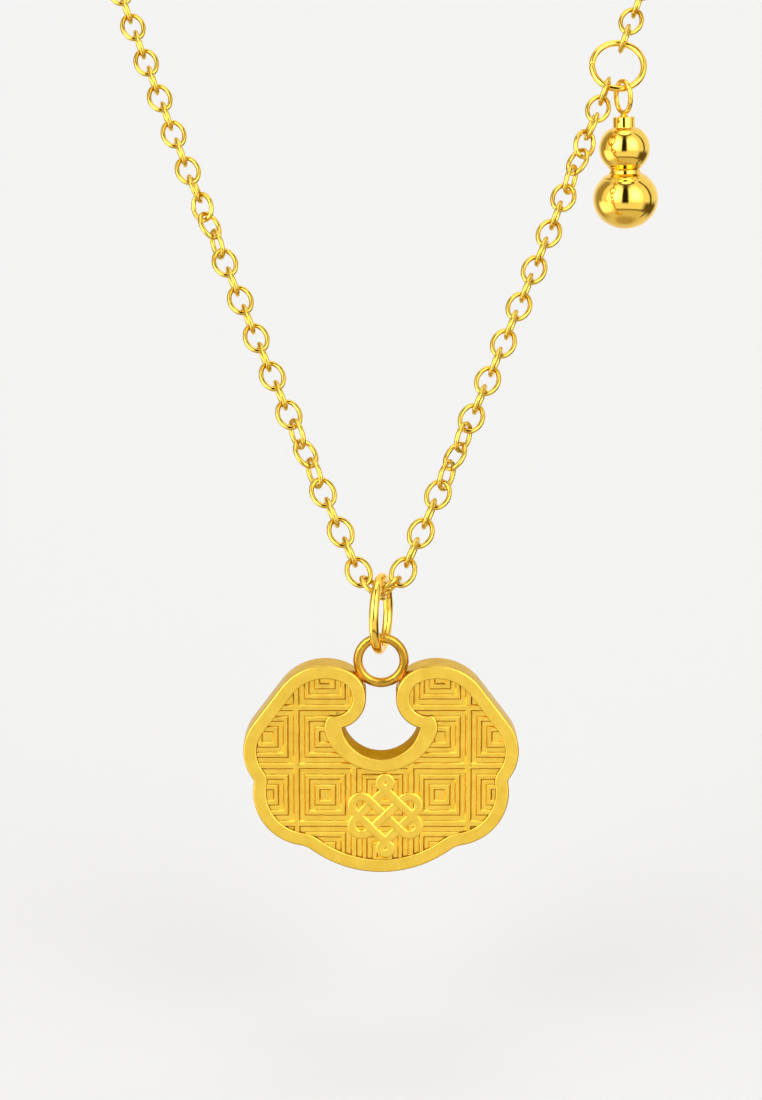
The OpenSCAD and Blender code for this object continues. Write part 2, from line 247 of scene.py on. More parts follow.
# The straight that follows, and the half circle round the neck that closes the loop
CURVE_END = curve_pt(CURVE)
SHARE = math.radians(90 + ANGLE_HIGH) / cos(ANGLE_HIGH)
STRAIGHT = (HALF - CURVE - CURVE_END[0] * SHARE) / (1 + sin(ANGLE_HIGH) * SHARE)
STRAIGHT_END = (CURVE_END[0] + STRAIGHT * sin(ANGLE_HIGH), CURVE_END[1] + STRAIGHT * cos(ANGLE_HIGH))
NECK_R = STRAIGHT_END[0] / cos(ANGLE_HIGH)
NECK_V = STRAIGHT_END[1] + NECK_R * sin(ANGLE_HIGH)
LOOP_H = NECK_V + NECK_R
UP = Vector((0, sin(LEAN), cos(LEAN)))
BACK = Vector((0, cos(LEAN), -sin(LEAN)))


def strand_angle(s):
    if s < CURVE:
        return ANGLE_LOW - RATE * s
    if s < CURVE + STRAIGHT:
        return ANGLE_HIGH
    return ANGLE_HIGH - math.degrees((s - CURVE - STRAIGHT) / NECK_R)


def strand_pt(s):
    a = strand_angle(s)
    if s < CURVE:
        return curve_pt(s)
    if s < CURVE + STRAIGHT:
        return (CURVE_END[0] + (s - CURVE) * sin(a), CURVE_END[1] + (s - CURVE) * cos(a))
    return (NECK_R * cos(a), NECK_V - NECK_R * sin(a))


def in_space(u, v):
    """A point of the loop's plane, u across and v up from its lowest point."""
    return ACROSS * u + UP * (v - LOOP_H)


LOW = in_space(0, 0)

# Links: half length and half width of the centre line, wire, free play between two of them
LINK_HL, LINK_HW, LINK_WIRE, PLAY = 1.35, 1.0, 0.48, 0.115
LINK_POINTS, LINK_SIDES, SEAM_ODD, SEAM_EVEN = 40, 12, 10, 30
OVAL = oval_points(LINK_HL, LINK_HW, LINK_POINTS)


def add_link(pile, centre, along, wide, seed):
    """A link of slightly uneven wire, with a thin seam in one of its long sides."""
    path = [centre + along * x + wide * y for x, y in OVAL]
    seam = SEAM_ODD if seed % 2 else SEAM_EVEN

    def shape(i, a):
        d = min(abs(i - seam), LINK_POINTS - abs(i - seam))
        f = 0.985 + wobble(0.025, seed * 3.1 + i * 0.35, math.cos(a) * 0.8, math.sin(a) * 0.8)
        if d == 0:
            f -= 0.05
        elif d == 1:
            f += 0.015
        return min(f, 1.0)
    pile.add(*tube(path, LINK_WIRE / 2, LINK_SIDES, along.cross(wide), shape))


def add_strand_link(pile, side, s, turn, seed):
    """A link at s along the strand on the given side, turned about the strand."""
    u, v = strand_pt(s)
    a = strand_angle(s)
    along = ACROSS * (side * sin(a)) + UP * cos(a)
    wide = (ACROSS * (side * cos(a)) - UP * sin(a)) * cos(turn) + BACK * sin(turn)
    add_link(pile, in_space(side * u, v), along, wide, seed)


def add_end_link(pile, inner, outer, roll, seed):
    """The link between the oval ring and a strand, given by its two ends from the loop's lowest point."""
    inner, outer = Vector(inner), Vector(outer)
    along = (outer - inner).normalized()
    level = along.cross(PLUMB).normalized()
    add_link(pile, LOW + (inner + outer) / 2, along, level * cos(roll) + along.cross(level) * sin(roll), seed)


# How the strands twist: first and last link, a swing that returns to nothing, a turn that stays
LEFT_TWIST = [(5, 9, 30, 0), (17, 22, 0, 90)]
RIGHT_TWIST = [(5, 9, 36, 0), (21, 26, 0, 90)]


def twist(i, rows):
    turn = 0
    for first, last, swing, stay in rows:
        share = min(1, max(0, (i - first) / (last - first)))
        turn -= swing * sin(180 * share) + stay * share
    return turn


# Places along the strand, and the lower right run, which ends on the side ring
PITCH = 2 * LINK_HL - LINK_WIRE - PLAY
FIRST_S, RIGHT_PITCH, RIGHT_LINKS = 2.21, 2.055, 27
LAST_RIGHT = FIRST_S + (RIGHT_LINKS - 1) * RIGHT_PITCH

# The side ring, and the angles from the upright at which the lower and the upper run hook in it
SIDE_D, SIDE_WIRE, SIDE_SLIT, SIDE_SLIT_AT = 5.65, 0.65, 0.12, 178
SIDE_R = (SIDE_D - SIDE_WIRE) / 2
SIDE_LEAN = LEAN - 2
HOOK_LOW, HOOK_HIGH = 27, 10
HOOK = (LINK_WIRE + SIDE_WIRE) / 2 + PLAY + 0.02
last_angle, last_pt = strand_angle(LAST_RIGHT), strand_pt(LAST_RIGHT)
SIDE_POS = in_space(last_pt[0] + (LINK_HL - HOOK) * sin(last_angle) + SIDE_R * sin(HOOK_LOW),
                    last_pt[1] + (LINK_HL - HOOK) * cos(last_angle) + SIDE_R * cos(HOOK_LOW))
UPPER_FIRST = LAST_RIGHT + 2 * LINK_HL - 2 * HOOK + 2 * SIDE_R * cos((HOOK_LOW - HOOK_HIGH) / 2)

# The clasp's ring and the eye beside it, behind the neck
CLASP_R, CLASP_WIRE, EYE_R, EYE_WIRE, EYE_X = 2.05, 1.0, 0.88, 0.5, -1.1
CLASP_X = EYE_X + EYE_R + CLASP_R
LEFT_LAST = HALF + EYE_X - EYE_R + (LINK_WIRE + EYE_WIRE) / 2 + PLAY - LINK_HL
UPPER_LAST = HALF - CLASP_X - CLASP_R + (LINK_WIRE + CLASP_WIRE) / 2 + PLAY - LINK_HL


def odd_count(run): return 2 * math.ceil(run / PITCH / 2 - 0.03) + 1


# From link HIDDEN on, the left strand takes the pitch that makes it end on the clasp's eye
HIDDEN = 31
LEFT_LINKS = odd_count(LEFT_LAST - FIRST_S)
UPPER_LINKS = odd_count(UPPER_LAST - UPPER_FIRST)
HIDDEN_PITCH = (LEFT_LAST - FIRST_S - (HIDDEN - 1) * PITCH) / (LEFT_LINKS - HIDDEN)
UPPER_PITCH = (UPPER_LAST - UPPER_FIRST) / (UPPER_LINKS - 1)


# The two strands
def left_strand():
    pile = Pile()
    add_end_link(pile, (0.256, 0.110, -0.470), (-1.707, 0.750, 1.270), 1.83, 1)
    for i in range(1, LEFT_LINKS + 1):
        shown = min(i, HIDDEN)
        s = FIRST_S + (shown - 1) * PITCH + (i - shown) * HIDDEN_PITCH
        add_strand_link(pile, -1, s, 90 * (i - 1) + twist(i, LEFT_TWIST), i)
    finish_object("left_strand", pile.v, pile.f, [chain_gold], "necklace", "chain_left")


def right_strand():
    pile = Pile()
    add_end_link(pile, (-0.255, 1.054, -0.612), (1.614, 0.570, 1.275), -12.92, 3)
    for i in range(1, RIGHT_LINKS + 1):
        s = FIRST_S + (i - 1) * RIGHT_PITCH
        add_strand_link(pile, 1, s, 90 * (i - 1) + twist(i, RIGHT_TWIST), 200 + i)
    for i in range(1, UPPER_LINKS + 1):
        add_strand_link(pile, 1, UPPER_FIRST + (i - 1) * UPPER_PITCH, 90 * i, 300 + i)
    finish_object("right_strand", pile.v, pile.f, [chain_gold], "necklace", "chain_right")


left_strand()
right_strand()

# The oval ring that carries the lock
BAIL_HL, BAIL_HW, BAIL_WIRE, BAIL_Y, BAIL_TOP, BAIL_TURN = 3.28, 2.88, 0.9, 0.544, 1.278, 13.0
BAIL_Z = BAIL_TOP - BAIL_HL
BAIL_POINTS, BAIL_SIDES = 128, 28
# Where its wire's ends meet, from the ring's middle: across and up
BAIL_SEAM = (2.7, 0.9)


def oval_ring():
    centre = LOW + Vector((0, BAIL_Y, BAIL_Z))
    wide = Vector((sin(BAIL_TURN), cos(BAIL_TURN), 0))
    path = [centre + Vector((0, 0, x)) + wide * y for x, y in oval_points(BAIL_HL, BAIL_HW, BAIL_POINTS)]
    meet = centre + wide * BAIL_SEAM[0] + Vector((0, 0, BAIL_SEAM[1]))
    seam = min(range(BAIL_POINTS), key=lambda i: (path[i] - meet).length)

    def shape(i, a):
        d = abs(i - seam)
        f = 1 + wobble(0.008, i * 0.16, math.cos(a), math.sin(a))
        if d == 0:
            f -= 0.07
        elif d <= 3:
            f += wobble(0.012, i * 1.9, 3 * math.cos(a), 3 * math.sin(a)) - 0.01
        return min(f, 1.0)
    v, f = tube(path, BAIL_WIRE / 2, BAIL_SIDES, PLUMB.cross(wide), shape)
    finish_object("oval_ring", v, f, [polished], "bail", "bail_ring")


oval_ring()


# The side ring, not soldered shut
def side_ring(steps=120, sides=22):
    up = Vector((0, sin(SIDE_LEAN), cos(SIDE_LEAN)))
    half_slit = math.degrees(SIDE_SLIT / SIDE_R) / 2
    path = []
    for i in range(steps + 1):
        a = SIDE_SLIT_AT + half_slit + (360 - 2 * half_slit) * i / steps
        path.append(SIDE_POS + (ACROSS * cos(a) + up * sin(a)) * SIDE_R)

    def shape(i, a):
        if i in (0, steps):
            return 0.86
        return 1 + wobble(0.012, i * 0.21 + 9, math.cos(a), math.sin(a)) - 0.012
    v, f = tube(path, SIDE_WIRE / 2, sides, ACROSS.cross(up), shape, closed=False)
    finish_object("side_ring_piece", v, f, [polished], "necklace", "side_ring")


side_ring()

# The gourd: where it hangs on the side ring, its tilt, its eye and the eye's turn
HANG_AT, GOURD_TILT = 9, 2.3
G_EYE_WIRE, G_EYE_HL, G_EYE_HW, G_EYE_TURN = 0.5, 1.5, 1.2, 31
GOURD_TOP = SIDE_POS \
    + SIDE_R * Vector((sin(HANG_AT), -sin(SIDE_LEAN) * cos(HANG_AT), -cos(SIDE_LEAN) * cos(HANG_AT))) \
    + Vector((0, 0, SIDE_WIRE / 2 + G_EYE_WIRE + PLAY + 0.02))
COLLAR_Z, COLLAR_H, COLLAR_R = -3.65, 1.05, 1.07
# Each bulb: radius, height of its widest level, its reach above and below that level
HI_BULB, LO_BULB = (2.5, -6.7, 2.4, 2.4), (3.2, -11.6, 2.91, 2.91)
NECK_IN, NECK_HIGH, NECK_LOW, NECK_STEPS = 1.54, -8.1, -9.75, 56
# The neck's rings: their spacing, their depth and how sharply the neck meets the bulbs
GROOVE, GROOVE_DEEP, NECK_SHARP = 0.42, 0.035, 14.0
GOURD_STEPS, GOURD_UNEVEN = 96, 0.004


def lathe(profile, centre, steps, uneven):
    """Turns a profile of (radius, height) round the upright through centre."""
    verts, faces = [], []
    n = len(profile)
    for k in range(steps):
        a = 2 * math.pi * k / steps
        for r, z in profile:
            rr = r * (1 + wobble(uneven, math.cos(a) * 0.9, math.sin(a) * 0.9, z * 0.35))
            verts.append(centre + Vector((rr * math.cos(a), rr * math.sin(a), z)))
    for k in range(steps):
        l = (k + 1) % steps
        for i in range(n - 1):
            faces.append((k * n + i, k * n + i + 1, l * n + i + 1, l * n + i))
    return verts, faces


def bulb(r, z, up, down, a0, a1, n):
    """Outline of a bulb from the angle a0 above its widest level down to a1."""
    angles = [a0 + (a1 - a0) * i / n for i in range(n + 1)]
    return [(r * cos(a), z + (up if a > 0 else down) * sin(a)) for a in angles]


def bulb_radius(b, z):
    reach = (z - b[1]) / (b[2] if z > b[1] else b[3])
    return b[0] * math.sqrt(max(0.0, 1 - reach * reach))


def neck_radius(z):
    """The waist between the bulbs, with soft rings that fade out on both of them."""
    widths = (NECK_IN - 0.05, bulb_radius(HI_BULB, z), bulb_radius(LO_BULB, z))
    r = math.log(sum(math.exp(NECK_SHARP * w) for w in widths)) / NECK_SHARP
    middle, half = (NECK_HIGH + NECK_LOW) / 2, (NECK_HIGH - NECK_LOW) / 2
    fade = max(0.0, 1 - ((z - middle) / half) ** 2)
    return r + GROOVE_DEEP * math.sqrt(fade) * math.cos(2 * math.pi * (z - middle + 0.02) / GROOVE)


def collar():
    """From the solder under the eye over the collar's rounded edge down to its flared foot."""
    foot = COLLAR_Z - COLLAR_H
    return [(0.0, COLLAR_Z + 0.36), (0.2, COLLAR_Z + 0.34), (0.34, COLLAR_Z + 0.22), (0.42, COLLAR_Z + 0.08),
            (0.52, COLLAR_Z), (COLLAR_R - 0.08, COLLAR_Z), (COLLAR_R - 0.02, COLLAR_Z - 0.03),
            (COLLAR_R, COLLAR_Z - 0.1), (COLLAR_R, foot + 0.2), (COLLAR_R + 0.02, foot + 0.08),
            (COLLAR_R + 0.12, foot), (COLLAR_R + 0.34, foot - 0.07)]


def gourd_profile():
    high_end = -math.degrees(math.asin((HI_BULB[1] - NECK_HIGH) / HI_BULB[3]))
    low_start = math.degrees(math.asin((NECK_LOW - LO_BULB[1]) / LO_BULB[2]))
    neck = [NECK_HIGH + (NECK_LOW - NECK_HIGH) * i / NECK_STEPS for i in range(1, NECK_STEPS)]
    return collar() + bulb(*HI_BULB, 48, high_end, 40) + [(neck_radius(z), z) for z in neck] \
        + bulb(*LO_BULB, low_start, -90, 60)


def gourd_eye(points=72, sides=18):
    centre = GOURD_TOP - Vector((0, 0, G_EYE_HL + G_EYE_WIRE / 2))
    wide = Vector((-sin(G_EYE_TURN), cos(G_EYE_TURN), 0))
    path = [centre + Vector((0, 0, x)) + wide * y for x, y in oval_points(G_EYE_HL, G_EYE_HW, points)]

    def shape(i, a):
        return 1 + wobble(0.01, i * 0.2, math.cos(a), 7 + math.sin(a)) - 0.01
    return tube(path, G_EYE_WIRE / 2, sides, PLUMB.cross(wide), shape)


def gourd():
    """It hangs a little out of plumb, turned about its hook."""
    pile = Pile()
    pile.add(*gourd_eye())
    pile.add(*lathe(gourd_profile(), GOURD_TOP, GOURD_STEPS, GOURD_UNEVEN))
    tilt = Matrix.Rotation(math.radians(-GOURD_TILT), 3, "Y")
    verts = [GOURD_TOP + tilt @ (p - GOURD_TOP) for p in pile.v]
    finish_object("gourd_piece", verts, pile.f, [polished], "necklace", "gourd_charm")


gourd()


# The clasp behind the neck
def ring_path(x, r, n):
    """A circle in the loop's plane, with its middle at x."""
    return [ACROSS * x + (ACROSS * math.cos(2 * math.pi * i / n) + UP * math.sin(2 * math.pi * i / n)) * r
            for i in range(n)]


def clasp():
    """A ring and a small eye; two shallow grooves mark where the ring's sliding arc starts and ends."""
    def shape(i, a):
        return 0.94 if i in (14, 15, 33, 34) else 1.0
    pile = Pile()
    pile.add(*tube(ring_path(CLASP_X, CLASP_R, 96), CLASP_WIRE / 2, 24, ACROSS.cross(UP), shape))
    pile.add(*tube(ring_path(EYE_X, EYE_R, 48), EYE_WIRE / 2, 16, ACROSS.cross(UP)))
    finish_object("clasp_piece", pile.v, pile.f, [polished], "necklace", "clasp")


clasp()

# The lock. Each lobe: middle across, middle up, radius. The top lobe ends in a scroll beside the notch
BOTTOM, LOW_LOBE, SIDE_LOBE = (0, 0.6, 10.52), (6.56, -2.33, 5.09), (8.2, 1.52, 4.3)
TOP_LOBE, SCROLL_R, SCROLL_TURN, NOTCH = (5.05, 4.64, 4.95), 2.88, 113.4, (0, 4.38, 3.52)
# Radii that round off the corners between the lobes, and how much wider the rim is at the notch's two points
LOW_BLEND, SIDE_BLEND, POINT_RIM = 2.3, 0.5, 1.38
LOCK_T, RIM, DEPTH, RIDGE = 3.1, 1.21, 0.26, 0.16
FRONT = LOCK_T / 2
FLOOR = FRONT - DEPTH
# The ring soldered between the lobes, and its middle over the lock's origin
RING_R, RING_WIRE, RING_PLAY, LOCK_DROP = 2.09, 0.9, 0.12, 9.74
RING_Z = BAIL_Z - BAIL_HL + (RING_WIRE + BAIL_WIRE) / 2 + RING_PLAY - RING_R
LOCK_POS = LOW + Vector((0, BAIL_Y, RING_Z - LOCK_DROP))

# The lock's materials, by their place in its list
FACE, SIDE, FIELD, RING, SOLDER, NOTCH_WALL, CORNER_SHADE, SHADE = range(8)
LOCK_GOLDS = [rim_gold, shaded_side_gold, field_gold, ring_gold, solder, notch_wall_gold, corner_shade_gold, ridge_shade_gold]
lock = Pile()


def lock_point(x, z, d):
    """x and z on the face, d towards the viewer from the plate's middle."""
    return LOCK_POS + Vector((x, -d, z))


def angle_to(a, b): return math.degrees(math.atan2(b[1] - a[1], b[0] - a[0]))


def acos(c): return math.degrees(math.acos(c))


def above(a0, a1):
    """The angle a0 raised by whole turns until it is past a1."""
    return a1 + (a0 - a1 + 720) % 360


def arc(c, r, a0, a1, step=3.0, n=0):
    n = n or max(2, math.ceil(abs(a1 - a0) / step))
    angles = [a0 + (a1 - a0) * i / n for i in range(n + 1)]
    return [(c[0] + r * cos(a), c[1] + r * sin(a)) for a in angles]


def blend_centre(a, b, r):
    """Middle of the hollow arc of radius r that touches the lobes a and b from outside."""
    ab = math.hypot(a[0] - b[0], a[1] - b[1])
    ra, rb = a[2] + r, b[2] + r
    along = (ab * ab + ra * ra - rb * rb) / (2 * ab)
    off = math.sqrt(ra * ra - along * along)
    d = angle_to(a, b)
    return (a[0] + along * cos(d) + off * sin(d), a[1] + along * sin(d) - off * cos(d))


def hollow_arc(at, r, a, b):
    """The rounded corner between the lobes a and b."""
    return arc(at, r, above(angle_to(at, a), angle_to(at, b)), angle_to(at, b))


# Points of the outline that don't move with the inset
LOW_AT = blend_centre(BOTTOM, LOW_LOBE, LOW_BLEND)
SIDE_AT = blend_centre(LOW_LOBE, SIDE_LOBE, SIDE_BLEND)
LOBE_GAP = math.hypot(TOP_LOBE[0] - SIDE_LOBE[0], TOP_LOBE[1] - SIDE_LOBE[1])
SHOULDER = angle_to(SIDE_LOBE, TOP_LOBE) - acos((SIDE_LOBE[2] - TOP_LOBE[2]) / LOBE_GAP)
SCROLL_IN = TOP_LOBE[2] - SCROLL_R
SCROLL = (TOP_LOBE[0] + SCROLL_IN * cos(SCROLL_TURN), TOP_LOBE[1] + SCROLL_IN * sin(SCROLL_TURN))
NOTCH_GAP = math.hypot(SCROLL[0] - NOTCH[0], SCROLL[1] - NOTCH[1])
CUSP_AT = angle_to(NOTCH, SCROLL) - acos((NOTCH_GAP * NOTCH_GAP + NOTCH[2] ** 2 - SCROLL_R ** 2)
                                         / (2 * NOTCH_GAP * NOTCH[2]))
CUSP = (NOTCH[0] + NOTCH[2] * cos(CUSP_AT), NOTCH[1] + NOTCH[2] * sin(CUSP_AT))
SCROLL_END = angle_to(SCROLL, CUSP)


def notch_edge(i):
    """The scroll, the wider rim round the cusp, and the notch's rim, which narrows to its lowest point."""
    wide = POINT_RIM * i
    along = (SCROLL_R ** 2 + wide ** 2 - (SCROLL_R - i) ** 2) / (2 * SCROLL_R)
    start = (CUSP[0] + wide * cos(CUSP_AT), CUSP[1] + wide * sin(CUSP_AT))
    low = NOTCH[1] - NOTCH[2] - i
    hollow = (0, (start[0] ** 2 + start[1] ** 2 - low ** 2) / (2 * (start[1] - low)))
    scroll_to = SCROLL_END + 360 + acos((SCROLL_R - along) / (SCROLL_R - i))
    return (arc(SCROLL, SCROLL_R - i, SCROLL_TURN, scroll_to, n=56) +
            arc(CUSP, wide, SCROLL_END + 180 - acos(along / wide), CUSP_AT, n=14) +
            arc(hollow, hollow[1] - low, angle_to(hollow, start), -90, n=30))


def half_outline(inset):
    """From the lock's lowest point up its right side and down into the notch."""
    i = max(inset, 0.0005)
    return (arc(BOTTOM, BOTTOM[2] - i, -90, angle_to(BOTTOM, LOW_AT)) +
            hollow_arc(LOW_AT, LOW_BLEND + i, BOTTOM, LOW_LOBE) +
            arc(LOW_LOBE, LOW_LOBE[2] - i, angle_to(LOW_LOBE, LOW_AT), angle_to(LOW_LOBE, SIDE_AT)) +
            hollow_arc(SIDE_AT, SIDE_BLEND + i, LOW_LOBE, SIDE_LOBE) +
            arc(SIDE_LOBE, SIDE_LOBE[2] - i, angle_to(SIDE_LOBE, SIDE_AT), SHOULDER) +
            arc(TOP_LOBE, TOP_LOBE[2] - i, SHOULDER, SCROLL_TURN) +
            notch_edge(i))


def whole_outline(inset):
    half = half_outline(inset)
    return half + [(-x, z) for x, z in half[-2:0:-1]]


# Loops of the plate from the field's edge to the back: inset from the outline, height over the plate's middle
CORNER_LOOPS = [(RIM + 0.03, FLOOR - 0.02), (RIM + 0.01, FRONT - 0.09)]
FACE_LOOPS = [(RIM - 0.02, FRONT - 0.035), (RIM - 0.07, FRONT - 0.006), (RIM - 0.13, FRONT), (0.9, FRONT),
              (0.6, FRONT), (0.3, FRONT), (0.17, FRONT - 0.001)]
WALL_LOOPS = [(0.1, FRONT - 0.012), (0.045, FRONT - 0.045), (0.012, FRONT - 0.1), (0.0, FRONT - 0.17),
              (0.0, 0.8), (0.0, 0.0), (0.0, -0.8),
              (0.0, 0.17 - FRONT), (0.012, 0.1 - FRONT), (0.045, 0.045 - FRONT), (0.1, 0.012 - FRONT),
              (0.17, -FRONT)]


def plate_walls():
    """The rim, the side wall and the notch's wall, between one loop and the next."""
    loops = CORNER_LOOPS + FACE_LOOPS + WALL_LOOPS
    # The first two bands, the rim's inner wall down into the field, take the dark corner gold: painted shade
    golds = [CORNER_SHADE] * len(CORNER_LOOPS) + [FACE] * len(FACE_LOOPS) + [SIDE] * len(WALL_LOOPS)
    edge = whole_outline(0)
    count = len(edge)
    for inset, d in loops:
        lock.v.extend(lock_point(x, z, d) for x, z in whole_outline(inset))
    for a in range(len(loops) - 1):
        for k, (x, z) in enumerate(edge):
            l = (k + 1) % count
            lock.f.append((a * count + k, a * count + l, (a + 1) * count + l, (a + 1) * count + k))
            in_notch = x ** 2 + (z - NOTCH[1]) ** 2 < (NOTCH[2] + 0.02) ** 2
            lock.m.append(NOTCH_WALL if in_notch and golds[a] == SIDE else golds[a])


def plate_back():
    ring = [Vector(p) for p in whole_outline(WALL_LOOPS[-1][0])]
    vs, _, tris, *_ = delaunay_2d_cdt(ring, [], [list(range(len(ring)))], 1, 1e-6)
    lock.add([lock_point(p.x, p.y, -FRONT) for p in vs], tris, FACE)


plate_walls()
plate_back()

# The sunk field: bands between its squares, and two raised frames in each, as outer and inner half sizes
GRID_W, GRID_H, GRID_X, GRID_Z = 5.2, 5.48, 0.13, 0.17
BAND = 0.25
FRAMES = [((0.93, 0.96), (0.49, 0.51)), ((1.83, 1.91), (1.43, 1.49))]
CELLS = [(GRID_X + c * GRID_W, GRID_Z + (r - 0.5) * GRID_H) for c in range(-2, 3) for r in range(-2, 3)]
COLS = [GRID_X + k * GRID_W for k in (-1.5, -0.5, 0.5, 1.5)]
ROWS = [GRID_Z + (k - 0.5) * GRID_H for k in (-1.5, -0.5, 0.5, 1.5)]
# A ridge's wall rises from FOOT outside its edge to the share WALL there, and to its full height at HEAD
FOOT, HEAD, WALL = 0.075, -0.06, 0.6
SLIP, TREMBLE = 0.026, 0.01


def ridge_height(d):
    """Height at the distance d outside a ridge's edge."""
    if d >= FOOT:
        return 0.0
    if d >= 0:
        return RIDGE * WALL * (1 - d / FOOT)
    if d >= HEAD:
        return RIDGE * (WALL + (1 - WALL) * d / HEAD)
    return RIDGE


def relief(x, z):
    """Height of the pattern over the field's floor."""
    h = 0.0
    for c in COLS:
        h = max(h, ridge_height(abs(x - c) - BAND))
    for r in ROWS:
        h = max(h, ridge_height(abs(z - r) - BAND))
    cx = GRID_X + GRID_W * round((x - GRID_X) / GRID_W)
    cz = GRID_Z + GRID_H * (round((z - GRID_Z) / GRID_H + 0.5) - 0.5)
    for (ox, oz), (ix, iz) in FRAMES:
        d = max(max(abs(x - cx) - ox, abs(z - cz) - oz), -max(abs(x - cx) - ix, abs(z - cz) - iz))
        h = max(h, ridge_height(d))
    return h


def inside(x, z, loop):
    hit = False
    for i in range(len(loop)):
        (ax, az), (bx, bz) = loop[i], loop[i - 1]
        if (az > z) != (bz > z) and x < (bx - ax) * (z - az) / (bz - az) + ax:
            hit = not hit
    return hit


def faces_away(corners):
    """Whether a triangle of the relief is a wall that looks right or down, away from the light, and so gets
    painted shade.
    """
    a, b, c = corners
    n = (b - a).cross(c - a)
    n *= 1 if n.z > 0 else -1
    return n.z < 0.9 * n.length and n.x - n.y > 0


def add_line(pts, edges, a, b, step=0.24):
    n = max(1, math.ceil(math.hypot(b[0] - a[0], b[1] - a[1]) / step))
    k = len(pts)
    for i in range(n + 1):
        pts.append(Vector((a[0] + (b[0] - a[0]) * i / n, a[1] + (b[1] - a[1]) * i / n)))
    edges.extend((k + i, k + i + 1) for i in range(n))


def add_box(pts, edges, cx, cz, hx, hz):
    corners = [(cx - hx, cz - hz), (cx + hx, cz - hz), (cx + hx, cz + hz), (cx - hx, cz + hz)]
    for i in range(4):
        add_line(pts, edges, corners[i], corners[(i + 1) % 4])


def field_lines(ring):
    """The field's edge and every line at which a ridge's wall starts, bends or ends."""
    pts, edges = [Vector(p) for p in ring], []
    for off in (FOOT, 0.0, HEAD):
        for c in COLS:
            for s in (-1, 1):
                add_line(pts, edges, (c + s * (BAND + off), -9), (c + s * (BAND + off), 9))
        for r in ROWS:
            for s in (-1, 1):
                add_line(pts, edges, (-12, r + s * (BAND + off)), (12, r + s * (BAND + off)))
        for cx, cz in CELLS:
            for (ox, oz), (ix, iz) in FRAMES:
                add_box(pts, edges, cx, cz, ox + off, oz + off)
                add_box(pts, edges, cx, cz, ix - off, iz - off)
    return pts, edges


def field_point(p):
    """A point of the pattern, moved a little as a hand tool slips and trembles."""
    q = Vector((p.x, p.y, 0))
    slip, tremble = noise.noise_vector(q * 1.3), noise.noise_vector(q * 4.5 + Vector((7, 3, 1)))
    d = FLOOR + relief(p.x, p.y) + 0.012 * noise.noise(q * 2.2) + 0.006 * noise.noise(q * 7.0)
    return lock_point(p.x + SLIP * slip.x + TREMBLE * tremble.x, p.y + SLIP * slip.y + TREMBLE * tremble.y, d)


def field():
    """The field as one sheet, cut so that every line of a ridge is an edge of the mesh."""
    ring = whole_outline(RIM - 0.05)
    pts, edges = field_lines(ring)
    vs, _, tris, *_ = delaunay_2d_cdt(pts, edges, [list(range(len(ring)))], 1, 1e-5)
    at = len(lock.v)
    lock.v.extend(field_point(p) for p in vs)
    for tri in tris:
        if inside(sum(vs[i].x for i in tri) / 3, sum(vs[i].y for i in tri) / 3, ring):
            corners = [Vector((vs[i].x, vs[i].y, relief(vs[i].x, vs[i].y))) for i in tri]
            lock.f.append(tuple(at + i for i in tri))
            # Walls that look away from the light take the darker gold: painted shade on the ridges
            lock.m.append(SHADE if faces_away(corners) else FIELD)


field()

# The endless knot: one closed band that rises over itself and dips under itself in turn
KNOT_PITCH, KNOT_BAND, KNOT_R, KNOT_TURN = 1.73, 0.84, 0.48, -45
KNOT_X, KNOT_Z = 0.4, -4.55
KNOT_REACH, KNOT_BEND = KNOT_PITCH + KNOT_R, KNOT_PITCH / 2
# The band's height over the floor, how far it rises or dips at a crossing, and over how many points it does
KNOT_H, KNOT_RISE, KNOT_FADE = 0.215, 0.045, 4.2
# Across the band: share of its half width, share of its height
KNOT_SECTION = [(-1.0, -0.3), (-1.0, 0.55), (-0.93, 0.82), (-0.80, 0.96), (-0.5, 1.0), (0.0, 1.03),
                (0.5, 1.0), (0.80, 0.96), (0.93, 0.82), (1.0, 0.55), (1.0, -0.3)]


def knot_path():
    pts = []
    p, far, half = KNOT_PITCH, KNOT_REACH, KNOT_BEND

    def run(a, b, n=24):
        pts.extend((a[0] + (b[0] - a[0]) * i / n, a[1] + (b[1] - a[1]) * i / n) for i in range(n))

    def bend(c, r, a0, a1, n):
        angles = [a0 + (a1 - a0) * i / n for i in range(n)]
        pts.extend((c[0] + r * cos(a), c[1] + r * sin(a)) for a in angles)
    run((far, p), (-far, p))
    bend((-far, far), KNOT_R, 270, 0, 20)
    run((-p, far), (-p, -far))
    bend((-half, -far), half, 180, 360, 16)
    run((0, -far), (0, far))
    bend((half, far), half, 180, 0, 16)
    run((p, far), (p, -far))
    bend((far, -far), KNOT_R, 180, 450, 20)
    run((far, -p), (-far, -p))
    bend((-far, -half), half, 270, 90, 16)
    run((-far, 0), (far, 0))
    bend((far, half), half, -90, 90, 16)
    return pts


def knot_rises(path):
    """Over and under in turn at each crossing, which lies where both coordinates are on the lattice."""
    lattice = [(x, z) for x in (-KNOT_PITCH, 0, KNOT_PITCH) for z in (-KNOT_PITCH, 0, KNOT_PITCH)]
    order = []
    for i, (x, z) in enumerate(path):
        for j, (gx, gz) in enumerate(lattice):
            new = not order or order[-1][1] != j or i - order[-1][0] > 3
            if new and math.hypot(x - gx, z - gz) < KNOT_PITCH * 0.04:
                order.append((i, j))
    rise = [0.0] * len(path)
    for k, (i, _) in enumerate(order):
        for m in range(-7, 8):
            rise[(i + m) % len(path)] += (1 if k % 2 == 0 else -1) * math.exp(-(m / KNOT_FADE) ** 2)
    return rise


